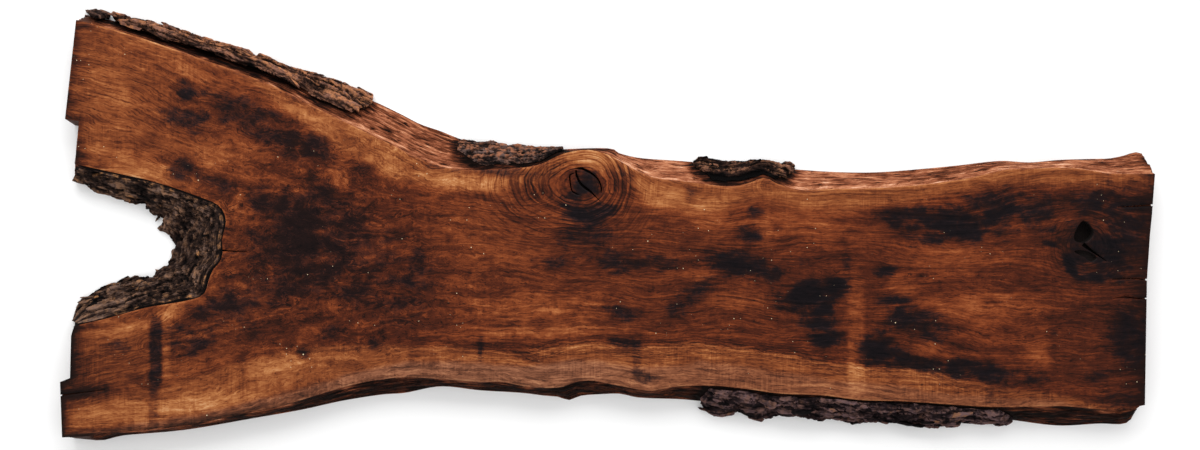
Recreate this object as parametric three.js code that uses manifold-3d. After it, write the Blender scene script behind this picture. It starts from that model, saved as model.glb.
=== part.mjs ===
// A live-edge walnut slab, sawn lengthwise through a crotch, lying flat on its wider sawn face.
// The sawn wood is one solid. Each piece of bark that still clings to its wane is a solid of its own.
// Millimetres, +Z up, the length along X. The forked end is at -X.
import * as THREE from "three";
import { ImprovedNoise } from "three/addons/math/ImprovedNoise.js";
import { mergeVertices } from "three/addons/utils/BufferGeometryUtils.js";
import Module from "manifold-3d";

const THICKNESS = 60; // between the two sawn faces
const COLUMN_STEP = 13; // facet length along a grown edge
const BARK_GAP = 0.4; // clearance between bark and wood
const BARK_FOOT = 1.2; // the bark stops this far above the underside
const BARK_SKIN = 0.8; // thinnest bark
const BARK_LEAST = 0.12; // share of the bark's depth that is left at the bottom of the deepest furrow
const RAGGED_LIP = 0.22; // how unevenly the upper lip has broken off, as a share of the bark's height
const BROKEN_END = 0.45; // height of the bark at a broken end, as a share of its height
const ROW_NEAR = 0.02; // a row of the wood's facets this near the bark's own edge is left out behind it
const ROW_CLEAR = 0.004; // least distance between two rows of the bark, as a share of the thickness
const WANE_CURVE = 1.5; // above 1 the wane steepens towards the underside, as a round log's does
const WANE_RELIEF = 2.2; // depth of the hollows and swellings in the bare wane
const RELIEF_SIZE = 55; // from one such hollow to the next, along the wane
const RELIEF_TIERS = 4; // how many of them fit between the two faces
const RELIEF_FADE_COLUMNS = 4; // over which the relief fades towards a corner of the slab
const PLATE = { length: 75, width: 12 }; // of the bark's plates
const WINDING = { length: 90, width: 40, reach: 14 }; // how the furrows between them wander
const LUMP = { length: 26, width: 16, height: 0.16 }; // on the plates, the height as a share of the depth
const FURROW_FLANK = 0.3; // how far out from a furrow's middle its flanks reach, as a share of a plate
const FURROW_DRIFT = 0.2; // how far the furrows drift across the bark as they run along it
const ROUNDED = { inner: 2.4, outer: 0.6 }; // how fully the bark bellies out before it curls in to its lip
const LIP_STEP = 0.45; // how quickly the ragged lip rises and falls from column to column
const CHECK_DEPTH = 8; // of the drying cracks, down from the upper face
const KNOT_CRACK_DEPTH = 18;
const HAIR_WIDTH = 0.4; // of a crack where it runs out
const CUTTER_OVER = 5; // how far a cutter stands above the face that it cuts

// Heights of the wane's facet rows as shares of the thickness, from the upper face down.
const WANE_ROWS = [1, 0.93, 0.78, 0.6, 0.42, 0.2, 0];

// The outline, walked anticlockwise from the fork's lower corner. On each side, face is where the side
// meets the upper sawn face and foot is where it meets the underside. The foot runs out past the face.
const LOWER_EDGE = {
  grown: true,
  face: [
    [-1076, -425], [-1020, -422], [-1000, -417], [-940, -412], [-860, -404], [-780, -392], [-710, -376],
    [-640, -363], [-560, -338], [-480, -316], [-400, -305], [-320, -308], [-240, -314], [-200, -313],
    [-140, -324], [-84, -325], [-50, -314], [-20, -311], [30, -320], [90, -331], [110, -331], [150, -323],
    [220, -321], [280, -326], [360, -337], [440, -340], [520, -350], [600, -352], [720, -360], [800, -364],
    [920, -362], [990, -368], [1040, -369], [1090, -360],
  ],
  foot: [
    [-1078, -434], [-1040, -438], [-1016, -440], [-979, -431], [-938, -427], [-877, -422], [-816, -414],
    [-714, -396], [-612, -378], [-530, -360], [-449, -347], [-398, -343], [-326, -330], [-245, -338],
    [-163, -343], [-112, -349], [-86, -351], [-63, -358], [-39, -349], [0, -346], [41, -345], [82, -353],
    [163, -356], [210, -360], [296, -365], [408, -371], [530, -375], [653, -381], [734, -388], [816, -394],
    [853, -400], [938, -410], [1020, -406], [1065, -407], [1085, -398], [1094, -372],
  ],
};
const RIGHT_END = {
  face: [[1090, -360], [1092, -230], [1094, -110], [1100, -20], [1104, 20], [1110, 102]],
  foot: [[1094, -372], [1095, -230], [1097, -110], [1102, -20], [1106, 20], [1108, 146]],
};
const UPPER_EDGE = {
  grown: true,
  face: [
    [1110, 102], [1040, 102], [1010, 104], [940, 114], [840, 112], [800, 108], [740, 94], [660, 82],
    [560, 74], [460, 72], [400, 70], [356, 82], [328, 94], [290, 81], [250, 77], [180, 86], [110, 94],
    [70, 110], [40, 128], [10, 143], [-20, 150], [-50, 148], [-80, 140], [-120, 121], [-160, 114],
    [-240, 110], [-310, 115], [-370, 136], [-420, 162], [-500, 201], [-580, 241], [-660, 281], [-740, 312],
    [-820, 340], [-900, 368], [-964, 388], [-1000, 398], [-1048, 410],
  ],
  foot: [
    [1108, 146], [1093, 149], [1071, 142], [1040, 136], [1000, 135], [938, 133], [877, 128], [816, 131],
    [734, 122], [673, 116], [571, 108], [490, 108], [408, 113], [377, 116], [306, 120], [245, 124],
    [163, 131], [82, 137], [39, 147], [24, 156], [-20, 157], [-71, 155], [-112, 153], [-163, 158],
    [-204, 164], [-245, 166], [-286, 176], [-326, 192], [-367, 206], [-408, 227], [-463, 253], [-510, 269],
    [-592, 296], [-714, 337], [-836, 373], [-918, 398], [-979, 414], [-1053, 430],
  ],
};
const UPPER_LIMB_END = {
  face: [[-1048, 410], [-1070, 212], [-1042, 208], [-1045, 180], [-1048, 150], [-1049, 122]],
  foot: [[-1053, 430], [-1074, 204], [-1052, 200], [-1060, 168], [-1072, 140], [-1074, 104]],
};
const CROTCH = {
  grown: true,
  face: [
    [-1049, 122], [-1000, 111], [-940, 98], [-900, 89], [-850, 74], [-800, 56], [-772, 45], [-756, 32],
    [-748, 12], [-750, -8], [-756, -30], [-754, -54], [-760, -74], [-774, -90], [-782, -110],
    [-788, -132], [-800, -144], [-840, -154], [-900, -164], [-940, -174], [-990, -188], [-1052, -202],
  ],
  foot: [
    [-1074, 104], [-1000, 82], [-949, 65], [-905, 50], [-878, 32], [-866, 8], [-856, -20], [-848, -48],
    [-853, -78], [-872, -108], [-905, -120], [-960, -131], [-1020, -147], [-1062, -168], [-1074, -206],
  ],
};
const LOWER_LIMB_END = {
  face: [[-1052, -202], [-1058, -222], [-1060, -306], [-1080, -314], [-1078, -370], [-1076, -425]],
  foot: [[-1074, -206], [-1064, -222], [-1062, -306], [-1083, -316], [-1080, -372], [-1078, -434]],
};

// The bark that is left. reach is where its outer face stands at the underside, from and to are the ends
// of the stretch of wane behind it, top and bottom are shares of the thickness, lift is how far its upper
// lip stands off the wood, lip is the share of its depth that it keeps there, rise is how much of that
// stands upwards, ends is how many columns its broken ends taper over, and furrow is how deep its furrows
// are, as a share of its depth.
const BARK = [
  {
    name: "bark_crotch", edge: CROTCH, color: 0x3a3028,
    top: 1, lift: 0, lip: 0.3, rise: 0, ends: 0, furrow: 0.5, seed: 1.7, rows: 11,
    reach: [
      [-1077, 86], [-1040, 71], [-1000, 58], [-949, 41], [-922, 29], [-910, 12], [-904, -6], [-881, -24],
      [-875, -49], [-883, -75], [-902, -92], [-938, -99], [-979, -112], [-1020, -126], [-1044, -137],
      [-1065, -157], [-1077, -194],
    ],
  },
  {
    name: "bark_lower_edge", edge: LOWER_EDGE, color: 0x35292a,
    from: 212, to: 838, top: 0.97, lift: 1.5, lip: 0.3, rise: 0.2, ends: 2, furrow: 0.55, seed: 4.3, rows: 9,
    reach: [
      [210, -372], [224, -385], [255, -387], [292, -388], [300, -396], [347, -396], [408, -399],
      [500, -403], [551, -404], [612, -407], [694, -414], [724, -416], [732, -407], [765, -406],
      [816, -410], [832, -409], [842, -402],
    ],
  },
  {
    name: "bark_upper_patch", edge: UPPER_EDGE, color: 0x33241d,
    from: 392, to: 190, top: 0.9, lift: 2, lip: 0.4, rise: 0.3, ends: 3, furrow: 0.6, seed: 7.9, rows: 8,
    reach: [
      [398, 121], [386, 130], [357, 131], [330, 136], [310, 135], [296, 131], [245, 134], [206, 138],
      [190, 134],
    ],
  },
  {
    name: "bark_hollow", edge: UPPER_EDGE, color: 0x2b211f,
    from: -75, to: -285, top: 0.93, bottom: 0.25, lift: 2, lip: 0.5, rise: 0.2, ends: 4, furrow: 0.5,
    seed: 2.6, rows: 7,
    reach: [
      [-75, 160], [-112, 163], [-163, 169], [-204, 176], [-245, 178], [-285, 181],
    ],
  },
  {
    name: "bark_upper_limb", edge: UPPER_EDGE, color: 0x4a352a,
    from: -466, to: -992, top: 0.86, lift: 7, lip: 0.5, rise: 0.7, ends: 3, furrow: 0.5, seed: 9.4, rows: 12,
    cleft: { at: 0.52, half: 0.14, from: 0.04, to: 0.7 },
    reach: [
      [-464, 260], [-473, 270], [-500, 283], [-551, 301], [-632, 327], [-714, 356], [-796, 380],
      [-867, 403], [-918, 418], [-959, 425], [-992, 434],
    ],
  },
  {
    name: "bark_upper_tip", edge: UPPER_EDGE, color: 0x42302a,
    from: -1000, to: -1046, top: 0.72, lift: 6, lip: 0.5, rise: 0.4, ends: 1, furrow: 0.5, seed: 5.2, rows: 6,
    reach: [[-1000, 430], [-1025, 438], [-1050, 436]],
  },
];

// Cracks in the upper face. Each is a line of places, x and y, with the crack's width there.
const DRYING_CHECKS = [
  [[1113, 40, 3.6], [1090, 39, 2.6], [1062, 37, 1.6], [1036, 36, 0.5]],
  [[1103, -111, 5], [1090, -109, 3], [1060, -107, 1.6], [1024, -109, 0.5]],
  [[1102, -147, 2.8], [1075, -147, 2.4], [1050, -144, 1.8], [1026, -147, 0.5]],
  [[-1086, -342, 2.6], [-1045, -336, 2], [-990, -330, 0.5]],
  [[-766, -50, 4], [-740, -52, 2.2], [-704, -54, 0.5]],
];
const KNOT_CRACKS = [
  [[-51, 113, 1], [-36, 113, 5], [-18, 104, 4], [-5, 93, 3], [1, 81, 3], [3, 70, 2.5], [2, 64, 0.8]],
  [[-51, 104, 1], [-60, 100, 3], [-60, 89, 3], [-57, 70, 2.5], [-50, 64, 2.5], [-41, 60, 0.8]],
  [[-48, 110, 3], [-47, 100, 4], [-39, 83, 4.5], [-27, 73, 5], [-18, 66, 3.5], [1, 47, 0.8]],
  [[966, -38, 9], [986, -53, 5], [1014, -73, 0.8]],
];

// The knot near the sawn end has a rotted hollow, with a shallow one beside it.
const KNOT_HOLLOWS = [
  { depth: 26, rim: [[948, -24], [954, -6], [967, 9], [985, -6], [987, -19], [970, -35], [951, -32]] },
  { depth: 8, rim: [[948, -53], [970, -51], [994, -65], [982, -73], [970, -65]] },
];

const WOOD_COLOR = 0x6b3a20;

const noise = new ImprovedNoise();
const vector = ([x, y]) => new THREE.Vector2(x, y);

// Points along one side of the outline, one for each column of facets. A grown side is a smooth curve
// through its points, and a sawn side keeps its own corners.
function columnsOf(side) {
  if (!side.grown) return side.face.map((p, i) => ({ face: vector(p), foot: vector(side.foot[i]) }));
  const face = new THREE.SplineCurve(side.face.map(vector));
  const foot = new THREE.SplineCurve(side.foot.map(vector));
  const count = Math.round(Math.max(face.getLength(), foot.getLength()) / COLUMN_STEP);
  const facePoints = face.getSpacedPoints(count);
  const footPoints = foot.getSpacedPoints(count);
  return facePoints.map((p, i) => ({ face: p, foot: footPoints[i] }));
}

// Where column i stands in plan at a height given as a share of the thickness.
function planAt(side, columns, i, height) {
  const { face, foot } = columns[i];
  return face.clone().lerp(foot, side.grown ? 1 - Math.pow(height, WANE_CURVE) : 1 - height);
}

// The unit vector in plan that points out of the wood at column i.
function outwardAt(side, columns, i, height) {
  const before = planAt(side, columns, Math.max(i - 1, 0), height);
  const after = planAt(side, columns, Math.min(i + 1, columns.length - 1), height);
  return new THREE.Vector2(after.y - before.y, before.x - after.x).normalize();
}

// Hollows and swellings of a grown edge, which fade out at its ends, at the rim and at the foot.
function waneRelief(point, height, fade) {
  const swell = noise.noise(point.x / RELIEF_SIZE, point.y / RELIEF_SIZE, height * RELIEF_TIERS);
  return WANE_RELIEF * swell * fade * Math.sin(Math.PI * height);
}

// A point on the side's surface at a height given as a share of the thickness.
function wanePoint(side, columns, i, height) {
  const point = planAt(side, columns, i, height);
  if (side.grown) {
    const toEnd = Math.min(i, columns.length - 1 - i);
    const fade = Math.min(1, toEnd / RELIEF_FADE_COLUMNS);
    point.addScaledVector(outwardAt(side, columns, i, height), waneRelief(point, height, fade));
  }
  return new THREE.Vector3(point.x, point.y, height * THICKNESS);
}

// A point on the side's facets, between the two rows of corners that it lies between.
function facetPoint(side, columns, i, height) {
  const upper = WANE_ROWS.findLastIndex((row) => row >= height);
  const lower = Math.min(upper + 1, WANE_ROWS.length - 1);
  const top = wanePoint(side, columns, i, WANE_ROWS[upper]);
  if (upper === lower) return top;
  const share = (WANE_ROWS[upper] - height) / (WANE_ROWS[upper] - WANE_ROWS[lower]);
  return top.lerp(wanePoint(side, columns, i, WANE_ROWS[lower]), share);
}

// Triangles between rings of points that all have the same count, each ring to the next.
function ringTriangles(ringCount, size) {
  const index = [];
  for (let r = 0; r < ringCount - 1; r++) {
    for (let i = 0; i < size; i++) {
      const a = r * size + i;
      const b = r * size + ((i + 1) % size);
      index.push(a, b, b + size, a, b + size, a + size);
    }
  }
  return index;
}

function geometryFrom(rings, index) {
  const geometry = new THREE.BufferGeometry();
  const positions = rings.flat().flatMap((p) => [p.x, p.y, p.z]);
  geometry.setAttribute("position", new THREE.Float32BufferAttribute(positions, 3));
  geometry.setIndex(index);
  return geometry;
}

const wasm = await Module();
wasm.setup();

function solidOf(geometry) {
  geometry.deleteAttribute("normal");
  geometry.deleteAttribute("uv");
  const merged = mergeVertices(geometry);
  return new wasm.Manifold(
    new wasm.Mesh({
      numProp: 3,
      vertProperties: new Float32Array(merged.getAttribute("position").array),
      triVerts: new Uint32Array(merged.getIndex().array),
    }),
  );
}

function geometryOf(solid) {
  const { vertProperties, triVerts } = solid.getMesh();
  const geometry = new THREE.BufferGeometry();
  geometry.setAttribute("position", new THREE.Float32BufferAttribute(vertProperties, 3));
  geometry.setIndex([...triVerts]);
  geometry.computeVertexNormals();
  return geometry;
}

// A cutter for a pocket sunk into the upper face, from the pocket's rim in plan.
function pocket(rim, depth) {
  const height = depth + CUTTER_OVER;
  const geometry = new THREE.ExtrudeGeometry(new THREE.Shape(rim), { depth: height, bevelEnabled: false });
  geometry.translate(0, 0, THICKNESS - depth);
  return solidOf(geometry);
}

function crack(line, depth) {
  const path = new THREE.CatmullRomCurve3(line.map((p) => new THREE.Vector3(...p)), false, "catmullrom", 0.5);
  const steps = (line.length - 1) * 2;
  const near = [];
  const far = [];
  for (let k = 0; k <= steps; k++) {
    const place = path.getPoint(k / steps);
    const run = path.getTangent(k / steps);
    const across = new THREE.Vector2(-run.y, run.x).setLength(Math.max(place.z, HAIR_WIDTH) / 2);
    near.push(new THREE.Vector2(place.x - across.x, place.y - across.y));
    far.unshift(new THREE.Vector2(place.x + across.x, place.y + across.y));
  }
  return pocket([...near, ...far], depth);
}

function hollow({ rim, depth }) {
  const curve = new THREE.CatmullRomCurve3(rim.map(([x, y]) => new THREE.Vector3(x, y, 0)), true);
  const places = curve.getPoints(rim.length * 3).slice(0, -1);
  return pocket(places.map((p) => new THREE.Vector2(p.x, p.y)), depth);
}

function slabWood() {
  const sides = [LOWER_EDGE, RIGHT_END, UPPER_EDGE, UPPER_LIMB_END, CROTCH, LOWER_LIMB_END];
  const rings = [...WANE_ROWS].reverse().map((height) =>
    sides.flatMap((side) => {
      const columns = columnsOf(side);
      return columns.slice(0, -1).map((_, i) => wanePoint(side, columns, i, height));
    }),
  );
  const size = rings[0].length;
  const index = ringTriangles(rings.length, size);
  const upper = (rings.length - 1) * size;
  const plan = (ring) => ring.map((p) => new THREE.Vector2(p.x, p.y));
  for (const [a, b, c] of THREE.ShapeUtils.triangulateShape(plan(rings[0]), [])) index.push(a, c, b);
  for (const triangle of THREE.ShapeUtils.triangulateShape(plan(rings.at(-1)), [])) {
    index.push(...triangle.map((corner) => corner + upper));
  }
  let wood = solidOf(geometryFrom(rings, index));
  for (const line of DRYING_CHECKS) wood = wood.subtract(crack(line, CHECK_DEPTH));
  for (const line of KNOT_CRACKS) wood = wood.subtract(crack(line, KNOT_CRACK_DEPTH));
  for (const rotted of KNOT_HOLLOWS) wood = wood.subtract(hollow(rotted));
  return geometryOf(wood);
}

// How much of its full depth the bark keeps at a place: 1 on a plate, less in a furrow.
function plateRelief(along, across, { seed, furrow }) {
  const wander = noise.noise(along / WINDING.length, across / WINDING.width, seed) * WINDING.reach;
  const nearFurrow = Math.abs(noise.noise(along / PLATE.length, (across + wander) / PLATE.width, seed + 3));
  const lump = noise.noise(along / LUMP.length, across / LUMP.width, seed + 8);
  const flank = THREE.MathUtils.smoothstep(nearFurrow, 0, FURROW_FLANK);
  return 1 - furrow * (1 - flank) + LUMP.height * lump;
}

// A long cleft that parts the bark into two tiers: 0 in its middle, 1 clear of it.
function cleftRelief(length, height, { cleft }) {
  if (!cleft || length < cleft.from || length > cleft.to) return 1;
  return Math.min(1, Math.abs(height - cleft.at) / cleft.half);
}

// How far up the wane the bark's lip stands at column i: ragged all along, and lower at a broken end.
function lipHeight({ top, ends, seed }, bottom, i, first, last) {
  if (!ends) return top;
  const toEnd = Math.min(i - first, last - i);
  const taper = THREE.MathUtils.lerp(BROKEN_END, 1, Math.min(1, toEnd / ends));
  const ragged = RAGGED_LIP * Math.abs(noise.noise(i * LIP_STEP, seed, 3));
  return bottom + (top - bottom) * (taper - ragged);
}

// One piece of bark, as cross-sections at the wood's own columns. Each runs up the inner face, close
// against the wood, and back down the outer face.
function barkSections(piece) {
  const { edge, from, to, bottom = BARK_FOOT / THICKNESS, rows } = piece;
  const columns = columnsOf(edge);
  const gapTo = (column, x) => Math.abs(column.foot.x - x);
  const nearer = (x) => (best, c, i) => (gapTo(c, x) < gapTo(columns[best], x) ? i : best);
  const nearest = (x) => columns.reduce(nearer(x), 0);
  const first = from === undefined ? 1 : nearest(from);
  const last = to === undefined ? columns.length - 2 : nearest(to);
  const outline = new THREE.SplineCurve(piece.reach.map(vector));
  const rowsBehind = WANE_ROWS.filter((h) => h < piece.top - ROW_NEAR && h > bottom + ROW_NEAR).reverse();
  const innerCount = rowsBehind.length + 2;
  const sections = [];
  for (let i = first; i <= last; i++) {
    const top = lipHeight(piece, bottom, i, first, last);
    const foot = wanePoint(edge, columns, i, 0);
    const length = (i - first) / (last - first);
    const end = outline.getPointAt(length);
    const span = new THREE.Vector2(end.x - foot.x, end.y - foot.y);
    const share = (h) => THREE.MathUtils.clamp((h - bottom) / (top - bottom), 0, 1);
    const at = (h, skin, thick) => {
      const p = facetPoint(edge, columns, i, h);
      const plan = new THREE.Vector2(p.x, p.y);
      plan.addScaledVector(outwardAt(edge, columns, i, h), BARK_GAP + piece.lift * share(h) + skin);
      plan.addScaledVector(span, thick);
      const up = span.length() * thick * piece.rise * share(h);
      return new THREE.Vector3(plan.x, plan.y, Math.min(p.z + up, THICKNESS));
    };
    const inner = [bottom, ...rowsBehind, top].map((h, k) =>
      at(Math.min(h, top - ROW_CLEAR * (innerCount - 1 - k)), 0, 0),
    );
    const outer = Array.from({ length: rows }, (_, k) => {
      const h = top - ((top - bottom) * k) / (rows - 1);
      const fullness = Math.pow(1 - Math.pow(share(h), ROUNDED.inner), ROUNDED.outer);
      const body = piece.lip + (1 - piece.lip) * fullness;
      const across = (1 - h) * THICKNESS + foot.y * FURROW_DRIFT;
      const plates = plateRelief((i - first) * COLUMN_STEP, across, piece);
      return at(h, BARK_SKIN, Math.max(body * plates * cleftRelief(length, share(h), piece), BARK_LEAST));
    });
    sections.push([...inner, ...outer]);
  }
  return { sections, innerCount };
}

// Triangles that close a cross-section, zipping its inner face to its outer one.
function sectionTriangles(offset, size, innerCount) {
  const triangles = [];
  const outerCount = size - innerCount;
  let inner = 0;
  let outer = size - 1;
  while (inner < innerCount - 1 || outer > innerCount) {
    const innerShare = inner / (innerCount - 1);
    const outerShare = (size - 1 - outer) / (outerCount - 1);
    const stepInner = outer <= innerCount || (inner < innerCount - 1 && innerShare <= outerShare);
    const next = stepInner ? inner + 1 : outer - 1;
    triangles.push([offset + inner, offset + next, offset + outer]);
    if (stepInner) inner = next;
    else outer = next;
  }
  return triangles;
}

function barkGeometry(piece) {
  const { sections, innerCount } = barkSections(piece);
  const size = sections[0].length;
  const index = ringTriangles(sections.length, size);
  for (const [a, b, c] of sectionTriangles(0, size, innerCount)) index.push(c, b, a);
  index.push(...sectionTriangles((sections.length - 1) * size, size, innerCount).flat());
  return geometryOf(solidOf(geometryFrom(sections, index)));
}

function mesh(name, geometry, color, roughness) {
  const made = new THREE.Mesh(geometry, new THREE.MeshStandardMaterial({ color, roughness, metalness: 0 }));
  made.name = name;
  return made;
}

const slab = new THREE.Group();
slab.add(mesh("slab_wood", slabWood(), WOOD_COLOR, 0.45));
for (const piece of BARK) slab.add(mesh(piece.name, barkGeometry(piece), piece.color, 0.95));

// The origin is the middle of the slab's box, on the underside.
const box = new THREE.Box3().setFromObject(slab);
slab.position.set(-(box.min.x + box.max.x) / 2, -(box.min.y + box.max.y) / 2, -box.min.z);

export default slab;
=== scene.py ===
import math
from typing import NamedTuple

import bpy
import numpy as np
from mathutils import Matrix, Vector, kdtree
from mathutils.bvhtree import BVHTree
from mathutils.geometry import delaunay_2d_cdt


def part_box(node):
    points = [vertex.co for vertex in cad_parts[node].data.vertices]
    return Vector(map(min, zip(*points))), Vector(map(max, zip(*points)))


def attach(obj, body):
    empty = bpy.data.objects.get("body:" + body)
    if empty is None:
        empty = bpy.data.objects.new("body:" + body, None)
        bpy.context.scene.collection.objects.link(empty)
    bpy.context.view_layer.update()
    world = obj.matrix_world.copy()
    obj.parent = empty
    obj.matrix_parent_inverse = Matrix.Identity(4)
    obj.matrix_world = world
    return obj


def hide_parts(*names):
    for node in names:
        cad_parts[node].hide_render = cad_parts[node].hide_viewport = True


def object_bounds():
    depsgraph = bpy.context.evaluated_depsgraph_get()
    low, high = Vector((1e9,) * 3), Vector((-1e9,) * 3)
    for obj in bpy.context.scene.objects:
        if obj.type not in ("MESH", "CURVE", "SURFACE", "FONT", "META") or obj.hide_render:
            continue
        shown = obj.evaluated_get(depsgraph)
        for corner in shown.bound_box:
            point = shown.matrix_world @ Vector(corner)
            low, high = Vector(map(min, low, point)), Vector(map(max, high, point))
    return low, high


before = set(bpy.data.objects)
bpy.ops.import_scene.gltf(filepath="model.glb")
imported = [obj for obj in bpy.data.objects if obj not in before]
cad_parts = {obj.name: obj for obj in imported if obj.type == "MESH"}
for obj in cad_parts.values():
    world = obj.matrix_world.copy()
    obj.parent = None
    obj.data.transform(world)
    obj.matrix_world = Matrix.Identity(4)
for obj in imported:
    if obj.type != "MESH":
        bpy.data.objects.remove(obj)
cad_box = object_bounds()

# Lengths are in metres, in the slab's own frame: x along it, y across it, z up.
LOW_CORNER, HIGH_CORNER = (np.array(corner) for corner in cad_box)
FACE_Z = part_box("slab_wood")[1].z
CAP_SLACK = 0.0001  # a corner this near a sawn face lies on it

# The camera looks straight down. The picture's middle falls on this point of the upper face.
VIEW_POINT = (-0.0135, 0.0004)
VIEW_DISTANCE = 2.7
VIEW_WIDTH = 2.4
SENSOR_WIDTH = 36.0

# How long the edges of the finished meshes' triangles are.
WANE_STEP = 0.0045
BARK_STEP = 0.0042
FLAKE_STEP = 0.00504
FACE_STEP = 0.0062
KNOT_STEP = 0.003
UNDERSIDE_STEP = 0.022

# The wood's materials by number, and the seeds of the grids that fill its upper face and its underside.
FACE_SLOT, WANE_SLOT, END_SLOT, CRACK_SHADE_SLOT = range(4)
GRID_SEEDS = (5, 6)

# The sawn ends, as the places on the outline that they take: lowest x, highest x, lowest y, highest y.
SAWN_ENDS = [(-2, -1.035, 0.124, 0.409), (-2, -1.035, -0.424, -0.203), (1.07, 2, -0.359, 0.101)]

# The line that the growth layers of each limb start from. Both run on to the single end as the pith.
UPPER_PITH = [
    (-1.1, 0.12), (-0.95, 0.1), (-0.85, 0.05), (-0.7, -0.005), (-0.45, -0.04), (0.3, -0.08),
    (1.1, -0.11),
]
LOWER_PITH = [
    (-1.1, -0.2), (-0.95, -0.165), (-0.85, -0.12), (-0.7, -0.07), (-0.45, -0.055), (0.3, -0.08),
    (1.1, -0.11),
]
HALF_WIDTH = 0.27

# The feather below the fork, where the grain curls: its middle, and its reach along and across the slab.
CURL = Vector((-0.58, -0.02))
CURL_REACH = (0.26, 0.24)

# Knots in the upper face: x, y, radius, how far their rings reach, strength of the rings, and how far the
# rings are drawn out towards the fork.
KNOTS = [
    (-0.043, 0.083, 0.033, 0.085, 1.0, 1.75),
    (0.962, -0.04, 0.03, 0.05, 0.55, 1.0),
    (0.322, 0.079, 0.006, 0.022, 0.6, 1.0),
    (-0.918, -0.24, 0.005, 0.018, 0.8, 1.0),
]
KNOT_GRID = 2.2  # the grid is finer round the two large knots, out to this many radii
KNOT_PUSH = 1.3  # how far a knot pushes the growth layers aside, in radii

# The bare wane's grooves and swellings and the ends' saw marks, as depths. They fade out at the slab's foot
# and rim and beside the bark, each between two distances.
GROOVE_DEPTH, SWELL_DEPTH, SAW_DEPTH = 0.0045, 0.003, 0.0003
FOOT_FADE, RIM_FADE, BARK_FADE = (0, 0.006), (0, 0.005), (0.001, 0.01)
WALL_INSET = 0.004  # sides that stand farther than this inside the outline are a crack's or a hole's

# The noise in the meshes and their fields: the size of its largest features, its octaves, its seed and its
# gain from one octave to the next.
NOISES = {
    "grain across": ((0.3, 0.14, 1), 3, 11),
    "grain along": (0.14, 3, 13),
    "layers": ((0.12, 0.04, 1), 3, 17),
    "ring drift": (0.06, 3, 29),
    "swellings": ((0.07, 0.035, 1), 3, 37),
    "saw marks": ((0.02, 0.02, 0.004), 2, 41),
    "cloud borders": ((0.06, 0.035, 1), 4, 51, 0.7),
    "cloud streaks": ((0.03, 0.009, 1), 3, 57),
    "sap borders": ((0.06, 0.02, 1), 3, 61),
    "end stain": ((0.1, 0.006, 1), 2, 67),
    "rim patches": (0.09, 2, 71),
    "ring patches": (0.05, 2, 83),
}
GROOVES = ((0.09, 0.011, 1), 3, 31)
OCTAVE_SCALE = 2.03  # how much finer each octave is than the one before it


class GradientNoise:
    """Smooth noise in three dimensions, about -1 to 1, the same for the same seed."""

    def __init__(self, seed):
        rng = np.random.default_rng(seed)
        order = rng.permutation(256)
        self.order = np.concatenate([order, order, order[:2]])
        slopes = rng.normal(size=(256, 3))
        self.slopes = slopes / np.linalg.norm(slopes, axis=1, keepdims=True)

    def __call__(self, points):
        cell = np.floor(points).astype(int)
        part = points - cell
        ease = part * part * part * (part * (part * 6 - 15) + 10)
        cell &= 255
        total = 0
        for step in np.ndindex(2, 2, 2):
            corner = self.order[cell[:, 0] + step[0]]
            corner = self.order[corner + cell[:, 1] + step[1]]
            corner = self.order[corner + cell[:, 2] + step[2]]
            weight = np.prod(np.where(step, ease, 1 - ease), axis=1)
            total = total + weight * np.einsum("ij,ij->i", self.slopes[corner & 255], part - step)
        return total * 1.6


def layered(points, size, octaves, seed, gain, shift, shape):
    """The mean of some octaves of noise, each given its shape and weighted by the gain."""
    value, weight, reach = 0, 1.0, 0.0
    scaled = points / np.array(size)
    for octave in range(octaves):
        value = value + weight * shape(GradientNoise(seed + octave)(scaled))
        reach += weight
        scaled = scaled * OCTAVE_SCALE + shift
        weight *= gain
    return value / reach


def fractal(points, size, octaves, seed, gain=0.5):
    """Soft noise, about -1 to 1. size is the length of its largest features, alone or for each axis."""
    return layered(points, size, octaves, seed, gain, 7.1, lambda value: value)


def ridges(points, size, octaves, seed, gain=0.5):
    """0 in narrow furrows, up to 1 on the broad ridges between them."""
    return layered(points, size, octaves, seed, gain, 3.7, lambda value: np.minimum(1, np.abs(value) * 2.4))


def noise(name, points):
    return fractal(points, *NOISES[name])


def smoothstep(value, low, high):
    t = np.clip((value - low) / (high - low), 0, 1)
    return t * t * (3 - 2 * t)


def bell(value, middle, reach):
    """1 at the middle, falling off to both sides."""
    return np.exp(-(((value - middle) / reach) ** 2))


def rows(*columns):
    """Columns side by side. A single number fills its column."""
    return np.stack(np.broadcast_arrays(*columns), axis=-1)


def flat(points):
    """The points with their height taken out."""
    return rows(points[:, 0], points[:, 1], 0.0)


def line(points, table):
    """A value that changes along the slab, from a table of x and value."""
    return np.interp(points[:, 0], *np.array(table).T)


def solid_of(node):
    """A CAD node as points and triangles, with the corners that its facets share merged."""
    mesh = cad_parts[node].data
    points = np.zeros(len(mesh.vertices) * 3)
    mesh.vertices.foreach_get("co", points)
    faces = np.zeros(len(mesh.loops), np.int32)
    mesh.loops.foreach_get("vertex_index", faces)
    points, number = np.unique(points.reshape(-1, 3).round(6), axis=0, return_inverse=True)
    faces = number.ravel()[faces].reshape(-1, 3)
    whole = (faces != np.roll(faces, 1, axis=1)).all(axis=1)
    return points, faces[whole]


def lengths_of(vectors):
    return np.linalg.norm(vectors, axis=-1)


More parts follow.
